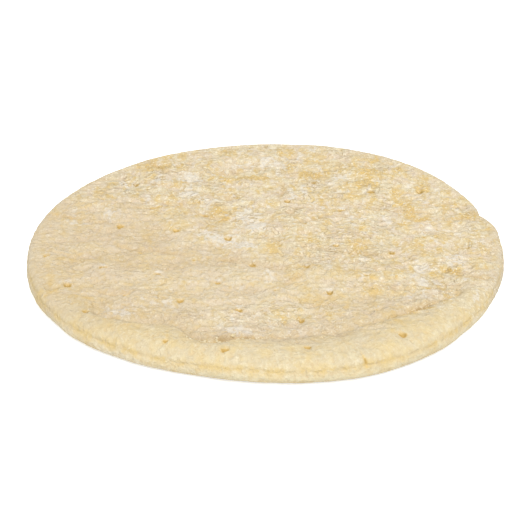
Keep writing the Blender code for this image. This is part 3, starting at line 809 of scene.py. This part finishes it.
def finish_masks(top, sizes):
    """The masks that the crust's finish reads, at every point."""
    x, y, z, share, side = top.x, top.y, top.z, top.share, top.side
    ragged = RAGGED * pattern("ragged", x, y) + FINELY_RAGGED * pattern("finely_ragged", x, y)
    rim = share * (1.0 - smoothstep(top.inset + RIM_RAGGED * ragged, RIM_START, top.foot + RIM_BEYOND))
    skin = 1.0 - smoothstep(top.inset + ragged, *SKIN_RANGE)
    toast, flour = toast_and_flour(top)
    below_seam = [sizes.seam_height - drop for drop in LIP_RANGE]
    foot_top = FOOT_TOP + FOOT_TOP_RISE * smoothstep(-x, *FOOT_RISE_RANGE)
    # Where the outermost edge gets painted shade: everywhere but the left front
    shaded_edge = 1.0 - smoothstep(-x, *TANNED_LEFT) * smoothstep(-y, *TANNED_FRONT)
    outermost = 1.0 - smoothstep(top.inset + PALE_RAGGED * ragged, 0.0, PALE_END)
    seam = bell(z - top.seam_height, SEAM_COLOUR_WIDTH) * (z < top.seam_height + SEAM_COLOUR_TOP)
    return {
        "toast": toast - TOAST_OFF_SKIN * skin - TOAST_OFF_RIM * rim,
        "flour": flour * (1.0 - FLOUR_OFF_SKIN * skin) * (1.0 - FLOUR_OFF_RIM * rim),
        "crisp": top.crisp,
        "low": painted_shade(top),
        "crease": np.clip(top.wrinkle / WRINKLE_FULL, 0.0, 1.0),
        # The crease's line and the fold lines, which get painted shade
        "fold": np.clip(top.line + FOLD_LINE_COLOUR * top.fold_line, 0.0, 1.0),
        "pit": np.clip(top.pit + top.slit, 0.0, 1.0),
        # Painted shadow in the hearts of the pits and in the rim's slit
        "heart": np.clip(top.heart + top.slit, 0.0, 1.0),
        "gaps": top.gaps,
        "rim": rim,
        "side": skin * (SIDE_LEAST + (1.0 - SIDE_LEAST) * share),
        "seam": side * seam,
        "lip": side * (1.0 - smoothstep(z, *below_seam)),
        # Painted light on the foot of the front side
        "foot": share * side * (1.0 - smoothstep(z, FOOT_START, foot_top)),
        "pale": shaded_edge * (1.0 - share) * outermost,
    }


def settle_on_frame(points):
    """Moves the points sideways so that their box has the middle of the frame's box."""
    low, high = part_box(NODE)
    middle = (np.array(low)[:2] + np.array(high)[:2]) / 2
    points[:, :2] += middle - (points[:, :2].min(axis=0) + points[:, :2].max(axis=0)) / 2


def make_piece(name, points, faces, materials):
    """A smooth mesh object in the scene."""
    mesh = bpy.data.meshes.new(name)
    mesh.from_pydata(points, [], faces)
    for material in materials:
        mesh.materials.append(material)
    mesh.shade_smooth()
    piece = bpy.data.objects.new(name, mesh)
    bpy.context.scene.collection.objects.link(piece)
    return piece


# ---- Materials

def solid(shade):
    """A colour with its alpha."""
    return (*shade, 1.0)


class Graph:
    """A node tree that is built from its inputs on, each node in the column after its inputs."""

    def __init__(self, tree):
        self.tree = tree

    def fill(self, node, values):
        """Gives a node its values. A value may be another node's output, which is linked."""
        left = 0.0
        for socket, value in values.items():
            if isinstance(value, bpy.types.NodeSocket):
                self.tree.links.new(value, node.inputs[socket])
                left = max(left, value.node.location.x + NODE_ACROSS)
            else:
                node.inputs[socket].default_value = value
        above = sum(other.location.x == left for other in self.tree.nodes if other != node)
        node.location = (left, -NODE_DOWN * above)
        return node

    def put(self, kind, values, **settings):
        """Adds a node with its settings and values."""
        node = self.tree.nodes.new(kind)
        for name, value in settings.items():
            setattr(node, name, value)
        return self.fill(node, values)

    def maths(self, operation, first, second=0.0):
        """A maths node's result."""
        return self.put("ShaderNodeMath", {0: first, 1: second}, operation=operation).outputs[0]

    def times(self, first, second):
        """The product of two values."""
        return self.maths("MULTIPLY", first, second)

    def remap(self, value, low, high, start=0.0, end=1.0, smooth=True):
        """The value mapped from low..high to start..end."""
        kind = "SMOOTHSTEP" if smooth else "LINEAR"
        values = {"Value": value, "From Min": low, "From Max": high, "To Min": start, "To Max": end}
        return self.put("ShaderNodeMapRange", values, interpolation_type=kind).outputs[0]

    def noise(self, vector, scale, detail, roughness, distortion=0.0):
        """Fractal noise from 0 to 1."""
        values = {"Vector": vector, "Scale": scale, "Detail": detail, "Roughness": roughness,
                  "Distortion": distortion}
        return self.put("ShaderNodeTexNoise", values).outputs["Fac"]

    def stretch(self, vector, factors):
        """A place scaled along its three axes."""
        return self.put("ShaderNodeVectorMath", {0: vector, 1: factors}, operation="MULTIPLY").outputs[0]

    def place(self):
        """The place on the piece."""
        return self.put("ShaderNodeTexCoord", {}).outputs["Object"]

    def mask(self, name):
        """A mask that the piece's points carry."""
        node = self.put("ShaderNodeAttribute", {}, attribute_name=name, attribute_type="GEOMETRY")
        return node.outputs["Fac"]

    def effect(self, group, **values):
        """The outputs of a shared effect that is placed with its own values."""
        return self.put("ShaderNodeGroup", values, node_tree=group).outputs

    def coats(self, ground, coats):
        """A ground colour under coats, each with its colour, its cover and, at times, how it blends."""
        base = solid(ground)
        for shade, cover, *kind in coats:
            blend = kind[0] if kind else "MIX"
            values = {0: cover, 6: base, 7: solid(shade)}
            base = self.put("ShaderNodeMix", values, data_type="RGBA", blend_type=blend).outputs[2]
        return base

    def bump(self, height, strength, distance):
        """A normal that follows a height."""
        values = {"Height": height, "Strength": strength, "Distance": distance}
        return self.put("ShaderNodeBump", values).outputs["Normal"]

    def shade(self, values):
        """Gives the Principled shader its values, and stands it and the output last."""
        shader = self.fill(self.tree.nodes["Principled BSDF"], values)
        self.tree.nodes["Material Output"].location.x = shader.location.x + 2 * NODE_ACROSS


def new_group(name, inputs):
    """An empty shader node group with a place and some numbers as inputs, and its start's outputs."""
    tree = bpy.data.node_groups.new(name, "ShaderNodeTree")
    tree.interface.new_socket(name="Vector", in_out="INPUT", socket_type="NodeSocketVector")
    for socket, default in inputs.items():
        made = tree.interface.new_socket(name=socket, in_out="INPUT", socket_type="NodeSocketFloat")
        made.default_value = default
    graph = Graph(tree)
    return graph, graph.put("NodeGroupInput", {}).outputs


def close_group(graph, outputs):
    """Adds a group's named outputs."""
    for socket in outputs:
        graph.tree.interface.new_socket(name=socket, in_out="OUTPUT", socket_type="NodeSocketFloat")
    graph.put("NodeGroupOutput", outputs)
    return graph.tree


def make_mottle():
    """Group: ragged patches where a cover is high. Mask is the patch and Core its heart."""
    graph, start = new_group("mottle", {"Cover": 0.5, "Grain": 200.0, "Ragged": 1.5})
    patch = graph.noise(start["Vector"], start["Grain"], 1.0, 0.5, 0.5)
    spread = graph.times(graph.maths("SUBTRACT", patch, 0.5), start["Ragged"])
    value = graph.maths("ADD", spread, start["Cover"])
    mask, core = graph.remap(value, 0.34, 0.82), graph.remap(value, 0.66, 1.10)
    return close_group(graph, {"Mask": mask, "Core": core})


def make_dough_grain():
    """Group: the fine grain of baked dough, as a height, and as masks of bright flecks on its raised parts,
    partly painted highlight, and of hollows in its low parts, partly painted shade.
    """
    graph, start = new_group("dough_grain", {"Grain": 300.0})
    broad = graph.noise(start["Vector"], start["Grain"], 3.0, 0.60, 0.4)
    finer = graph.times(start["Grain"], 2.2)
    raised = graph.maths("ADD", graph.noise(start["Vector"], finer, 2.0, 0.6), graph.times(broad, 0.5))
    dents = graph.noise(start["Vector"], finer, 3.0, 0.6, 1.0)
    sunk = graph.maths("ADD", graph.times(graph.maths("SUBTRACT", 1.0, broad), 0.8), dents)
    flecks, hollows = graph.remap(raised, 0.78, 0.96), graph.remap(sunk, 0.92, 1.12)
    return close_group(graph, {"Height": broad, "Flecks": flecks, "Hollows": hollows})


def make_skin_lines():
    """Group: fine lines where the skin has creased as it dried, as a mask, which the dough darkens with
    painted shade.
    """
    graph, start = new_group("skin_lines", {"Grain": 130.0, "Width": 0.02})
    along = graph.stretch(start["Vector"], (0.6, 1.0, 1.0))
    value = graph.noise(along, start["Grain"], 3.0, 0.5, 1.0)
    away = graph.maths("ABSOLUTE", graph.maths("SUBTRACT", value, 0.5))
    line = graph.remap(away, start["Width"], 0.0)
    shown = graph.remap(graph.noise(start["Vector"], 45.0, 2.0, 0.5), 0.36, 0.58)
    return close_group(graph, {"Lines": graph.times(line, shown)})


def make_rolled_streaks():
    """Group: soft streaks that run up the side and over the rim, as stretched dough has, and patches."""
    graph, start = new_group("rolled_streaks", {})
    parts = graph.put("ShaderNodeSeparateXYZ", {0: start["Vector"]}).outputs
    around = graph.times(graph.maths("ARCTAN2", parts["Y"], parts["X"]), STREAKS_ROUND)
    flat = graph.stretch(start["Vector"], (1.0, 1.0, 0.0))
    reach = graph.put("ShaderNodeVectorMath", {0: flat}, operation="LENGTH").outputs["Value"]
    across, up = graph.times(reach, STREAKS_ACROSS), graph.times(parts["Z"], STREAKS_ACROSS)
    rolled = graph.put("ShaderNodeCombineXYZ", {0: around, 1: across, 2: up}).outputs[0]
    streaks = graph.remap(graph.noise(rolled, 1.0, 4.0, 0.6), 0.36, 0.66, smooth=False)
    patches = graph.remap(graph.noise(start["Vector"], 105.0, 5.0, 0.6), 0.42, 0.62)
    return close_group(graph, {"Streaks": streaks, "Patches": patches})


def shared_groups():
    """The effects that the materials use, each built once."""
    makers = {"mottle": make_mottle, "dough_grain": make_dough_grain, "skin_lines": make_skin_lines,
              "rolled_streaks": make_rolled_streaks}
    return {name: bpy.data.node_groups.get(name) or make() for name, make in makers.items()}


def new_material(name, shown, specular):
    """A material with one Principled shader, and its graph."""
    material = bpy.data.materials.new(name)
    material.use_nodes = True
    material.diffuse_color = solid(shown)
    graph = Graph(material.node_tree)
    graph.tree.nodes["Principled BSDF"].inputs["Specular IOR Level"].default_value = specular
    return material, graph


def make_dough_material(colours, groups):
    """The top and the side: cream dough with toasted mottling, flour, golden creases and pits, with
    painted shade in low places, creases, folds, pits and gaps, and painted light on the foot, on flecks
    and behind the pits.
    """
    material, graph = new_material("baked_dough", colours.cream, 0.25)
    remap, times = graph.remap, graph.times
    place = graph.place()
    toast, flour, crisp, low, creased, fold, pit, heart, gaps, rim, side, seam, lip, foot, pale = (
        graph.mask(name) for name in MASKS)
    grain = graph.effect(groups["dough_grain"], Vector=place, Grain=330.0)
    lines = graph.effect(groups["skin_lines"], Vector=place, Grain=110.0, Width=0.020)
    streaks = graph.effect(groups["rolled_streaks"], Vector=place)

    # Toast lies in the low parts of the grain and flour on the high ones, in drawn-out patches
    sunken = remap(grain["Height"], 0.2, 0.8, 0.30, -0.30, smooth=False)
    toast, flour = graph.maths("ADD", toast, sunken), graph.maths("SUBTRACT", flour, sunken)
    drawn, ragged = graph.stretch(place, DRAWN_OUT), remap(crisp, 0.0, 1.0, 0.95, 1.7)
    toast = graph.effect(groups["mottle"], Vector=drawn, Cover=toast, Grain=170.0, Ragged=ragged)
    flour = graph.effect(groups["mottle"], Vector=drawn, Cover=flour, Grain=190.0, Ragged=ragged)

    # The rolled edge is calmer than the top, and smooth skin is calmer than crisp skin
    edge = graph.maths("MAXIMUM", rim, side)
    quiet = remap(edge, 0.0, 1.0, 1.0, 0.8)
    calm = times(quiet, remap(crisp, 0.0, 1.0, 0.9, 1.0))
    streaked = times(remap(streaks["Streaks"], 0.0, 1.0, 0.45, 1.0), times(streaks["Patches"], rim))
    unstreaked = times(remap(streaks["Streaks"], 0.45, 0.0, 0.0, 0.7), rim)
    golden_share = remap(crisp, 0.0, 1.0, 0.56, 0.85)
    line_share = times(remap(edge, 0.0, 0.7, 1.0, 0.15), remap(crisp, 0.0, 1.0, 0.3, 0.65))
    creases = times(graph.maths("MAXIMUM", creased, lines["Lines"]), line_share)
    flecks = times(times(grain["Flecks"], remap(crisp, 0.0, 1.0, 0.35, 0.8)), quiet)
    base = graph.coats(colours.cream, (
        (colours.blush, remap(graph.noise(place, 75.0, 2.0, 0.6, 0.5), 0.36, 0.64)),
        # A browner tone on the calm skin, which also paints shade towards the left and the front
        (colours.tan, remap(crisp, 1.0, 0.0, 0.0, 0.7)),
        (colours.rim, edge),
        (colours.lip, lip),
        # Painted light on the foot of the front side
        (colours.foot, foot),
        # Painted shade on the outermost edge at the sides and the back
        (colours.pale, pale),
        (colours.lip, unstreaked),
        (colours.golden, times(streaked, 0.9)),
        (colours.golden, times(toast["Mask"], golden_share)),
        (colours.toasted, times(toast["Core"], golden_share)),
        (colours.flour, times(flour["Mask"], 0.82)),
        # Painted shade in low places, behind the crease and the folds, on the left and in the shaded places
        (colours.shade, times(low, remap(crisp, 0.0, 1.0, 1.0, 0.6)), "MULTIPLY"),
        # Fine creases, golden-brown and darkened with painted shade
        (colours.crease, times(creases, calm)),
        # Painted shade along the folds and the crease's line, darkest in their deepest part
        (colours.furrow, times(fold, 0.6)),
        (colours.gap, remap(fold, 0.70, 1.0, 0.0, 0.8)),
        (colours.seam, times(remap(streaks["Patches"], 0.0, 0.7, 0.42, 1.0), seam)),
        (colours.toasted, remap(pit, 0.0, 0.5, 0.0, 0.7)),
        # Fine dents, golden-brown and partly painted shade
        (colours.hollow, times(grain["Hollows"], calm)),
        # Bright flecks, partly painted highlight on the grain's raised parts
        (colours.fleck, flecks),
        # Painted shadow in the hearts of the pits and in the rim's slit
        (colours.pit, remap(heart, 0.52, 0.76)),
        # Painted shade in the gaps between torn crumbs
        (colours.gap, times(gaps, 0.8)),
    ))
    roughness = remap(flour["Mask"], 0.0, 1.0, 0.72, 0.95)
    grooved = graph.maths("SUBTRACT", grain["Height"], times(creases, 0.25))
    normal = graph.bump(times(grooved, calm), 1.0, 2.2 * MM)
    graph.shade({"Base Color": base, "Roughness": roughness, "Normal": normal})
    return material


def make_underside_material(colours, groups):
    """The base: dough that lay on the pan, evenly tanned, with floury rings and darker flecks."""
    material, graph = new_material("baked_underside", colours.underside, 0.25)
    place = graph.place()
    toast = graph.effect(groups["mottle"], Vector=place, Cover=0.45, Grain=70.0, Ragged=1.6)
    flour = graph.effect(groups["mottle"], Vector=place, Cover=0.36, Grain=45.0, Ragged=1.5)
    grain = graph.effect(groups["dough_grain"], Vector=place, Grain=420.0)
    base = graph.coats(colours.underside, (
        (colours.golden, graph.times(toast["Mask"], 0.6)),
        (colours.toasted, graph.times(toast["Core"], 0.8)),
        (colours.flour, graph.times(flour["Mask"], 0.7)),
    ))
    normal = graph.bump(grain["Height"], 0.5, 0.8 * MM)
    graph.shade({"Base Color": base, "Roughness": 0.85, "Normal": normal})
    return material


def make_crumb_material(colours, groups):
    """Loose crumbs: dry dough with a little toast."""
    material, graph = new_material("dough_crumbs", colours.cream, 0.2)
    place = graph.place()
    toast = graph.effect(groups["mottle"], Vector=place, Cover=0.40, Grain=160.0, Ragged=1.6)
    grain = graph.effect(groups["dough_grain"], Vector=place, Grain=900.0)
    base = graph.coats(colours.cream, ((colours.golden, graph.times(toast["Mask"], 0.7)),))
    normal = graph.bump(grain["Height"], 0.5, 0.4 * MM)
    graph.shade({"Base Color": base, "Roughness": 0.9, "Normal": normal})
    return material


# ---- Operators

class PIZZA_OT_crust(bpy.types.Operator):
    """Make the crust: its top, its side and its base, as one closed body of dough"""
    bl_idname = "pizza.crust"
    bl_label = "Make the crust"

    def execute(self, context):
        sizes, colours = context.scene.crust_sizes, context.scene.crust_colours
        groups = shared_groups()
        points, faces = gathered_round(sizes)
        masks = finish_masks(shape_dough(points, sizes), sizes)
        settle_on_frame(points)
        materials = [make_dough_material(colours, groups), make_underside_material(colours, groups)]
        crust = make_piece("crust_dough", points, faces, materials)
        crust.data.polygons[len(faces) - 1].material_index = 1
        for name in MASKS:
            layer = crust.data.attributes.new(name, "FLOAT", "POINT")
            layer.data.foreach_set("value", masks[name].astype(np.float32))
        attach(crust, "root")
        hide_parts(NODE)
        return {"FINISHED"}


def crumb_ball():
    """Points and faces of a plain round crumb."""
    ball = bmesh.new()
    bmesh.ops.create_icosphere(ball, subdivisions=2, radius=0.5)
    points = np.array([vertex.co for vertex in ball.verts])
    faces = np.array([[vertex.index for vertex in face.verts] for face in ball.faces])
    ball.free()
    return points, faces


def crumb_places(count, rng):
    """Where crumbs fall, in millimetres, and how large: many on torn dough and few over the rest."""
    places = []
    for k in range(count):
        if k % CRUMB_TORN_EACH == 0:
            middle, reach = TORN_PLACES[k // CRUMB_TORN_EACH % len(TORN_PLACES)]
            x, y = (rng.normal(at, far * CRUMB_TORN_SPREAD) for at, far in zip(middle, reach))
            places.append((x, y, CRUMB_TORN_SIZE))
        else:
            turn, distance = rng.uniform(-math.pi, math.pi), CRUMB_ROUND * math.sqrt(rng.uniform())
            places.append((distance * math.cos(turn), distance * math.sin(turn), CRUMB_ROUND_SIZE))
    return places


def crumb_points(ball, number, size, hit, normal, rng):
    """The points of one lumpy crumb that lies on the dough."""
    size *= rng.uniform(CRUMB_LEAST, 1.0)
    shape = ball * np.array((1.0, rng.uniform(*CRUMB_WIDTH), rng.uniform(*CRUMB_HEIGHT)))
    lumpy = noise_at(ball[:, 0] * CRUMB_LUMPS + number, ball[:, 1] * CRUMB_LUMPS, ball[:, 2] * CRUMB_LUMPS)
    shape = shape * (1.0 + CRUMB_LUMPY * lumpy[:, None]) * size
    spin = Matrix.Rotation(rng.uniform(0, CRUMB_TURN), 3, "Z")
    turn = normal.to_track_quat("Z", "Y").to_matrix() @ spin
    return shape @ np.array(turn).T + np.array(hit + normal * size * CRUMB_LIFT)


class PIZZA_OT_crumbs(bpy.types.Operator):
    """Scatter loose crumbs and flakes of dough over the crust"""
    bl_idname = "pizza.crumbs"
    bl_label = "Scatter the crumbs"

    def execute(self, context):
        sizes = context.scene.crust_sizes
        crust = bpy.data.objects.get("crust_dough")
        if crust is None:
            raise RuntimeError("The crust has to be made before its crumbs.")
        surface = BVHTree.FromObject(crust, context.evaluated_depsgraph_get())
        rng = np.random.default_rng(CRUMB_SEED)
        ball, ball_faces = crumb_ball()
        points, faces = [], []
        for k, (x, y, share) in enumerate(crumb_places(sizes.crumb_count, rng)):
            above = Vector((x * MM, y * MM, CRUMB_DROP_FROM))
            hit, normal, _, _ = surface.ray_cast(above, Vector((0, 0, -1)))
            faces += (ball_faces + len(points) * len(ball)).tolist()
            points.append(crumb_points(ball, k, sizes.crumb_size * share, hit, normal, rng))
        material = make_crumb_material(context.scene.crust_colours, shared_groups())
        crumbs = make_piece("crust_crumbs", np.concatenate(points), faces, [material])
        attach(crumbs, "root")
        return {"FINISHED"}


def aim(piece, place, target):
    """Puts a light or the camera at a place, looking at a target."""
    piece.location = place
    piece.rotation_euler = (Vector(target) - Vector(place)).to_track_quat("-Z", "Y").to_euler()


def light_surroundings(world, strength):
    """Lights the scene evenly from all round, and shows the surroundings as plain white."""
    world.use_nodes = True
    world.node_tree.nodes.clear()
    graph = Graph(world.node_tree)
    seen = graph.put("ShaderNodeLightPath", {}).outputs["Is Camera Ray"]
    level = graph.remap(seen, 0.0, 1.0, strength, 1.0, smooth=False)
    back = graph.put("ShaderNodeBackground", {"Color": WHITE, "Strength": level})
    graph.put("ShaderNodeOutputWorld", {"Surface": back.outputs[0]})


class PIZZA_OT_stage(bpy.types.Operator):
    """Set up the pale floor, the soft light and the camera"""
    bl_idname = "pizza.stage"
    bl_label = "Set up the stage"

    def execute(self, context):
        scene, stage = context.scene, context.scene.stage_settings
        material, graph = new_material("studio_floor", stage.floor_colour, 0.0)
        seen = graph.put("ShaderNodeLightPath", {}).outputs["Is Camera Ray"]
        graph.shade({"Base Color": solid(stage.floor_colour), "Roughness": 0.9, "Emission Color": WHITE,
                     "Emission Strength": graph.times(seen, stage.floor_glow)})
        turns = np.linspace(0.0, 2 * math.pi, FLOOR_SIDES, endpoint=False)
        ring = [(FLOOR_RADIUS * math.cos(a), FLOOR_RADIUS * math.sin(a), -FLOOR_GAP) for a in turns]
        floor = make_piece("studio_floor", ring, [list(range(FLOOR_SIDES))], [material])

        camera = bpy.data.objects.new("camera", bpy.data.cameras.new("camera"))
        scene.collection.objects.link(camera)
        camera.data.lens = stage.lens
        camera.data.sensor_width = SENSOR_WIDTH
        camera.data.clip_start, camera.data.clip_end = NEAR_END, FAR_END
        target = Vector(stage.camera_aim)
        back = Vector((0.0, -math.cos(stage.camera_height), math.sin(stage.camera_height)))
        aim(camera, target + back * stage.camera_distance, target)
        scene.camera = camera

        key = bpy.data.lights.new("key_light", "SUN")
        key.angle = stage.key_width
        key.energy = stage.key_power
        lamp = bpy.data.objects.new("key_light", key)
        scene.collection.objects.link(lamp)
        aim(lamp, stage.key_from, (0.0, 0.0, 0.0))

        scene.world = scene.world or bpy.data.worlds.new("surroundings")
        light_surroundings(scene.world, stage.sky_strength)
        scene.view_settings.view_transform = "Standard"
        return {"FINISHED"}


class PIZZA_PT_panel(bpy.types.Panel):
    """The crust's sizes, colours, stage and pieces"""
    bl_idname = "PIZZA_PT_panel"
    bl_label = "Pizza crust"
    bl_space_type = "VIEW_3D"
    bl_region_type = "UI"
    bl_category = "Pizza crust"

    def draw(self, context):
        for title, group in (("Sizes", context.scene.crust_sizes), ("Colours", context.scene.crust_colours),
                             ("Stage", context.scene.stage_settings)):
            box = self.layout.box()
            box.label(text=title)
            for name in group.__annotations__:
                box.prop(group, name)
        for operator in OPERATORS:
            self.layout.operator(operator.bl_idname)


OPERATORS = (PIZZA_OT_stage, PIZZA_OT_crust, PIZZA_OT_crumbs)
CLASSES = (CrustSizes, CrustColours, StageSettings, *OPERATORS, PIZZA_PT_panel)


def register():
    for made in CLASSES:
        bpy.utils.register_class(made)
    bpy.types.Scene.crust_sizes = bpy.props.PointerProperty(type=CrustSizes)
    bpy.types.Scene.crust_colours = bpy.props.PointerProperty(type=CrustColours)
    bpy.types.Scene.stage_settings = bpy.props.PointerProperty(type=StageSettings)


def unregister():
    del bpy.types.Scene.stage_settings
    del bpy.types.Scene.crust_colours
    del bpy.types.Scene.crust_sizes
    for made in reversed(CLASSES):
        bpy.utils.unregister_class(made)


def main():
    register()
    bpy.ops.pizza.stage()
    bpy.ops.pizza.crust()
    bpy.ops.pizza.crumbs()


if __name__ == "__main__":
    main()
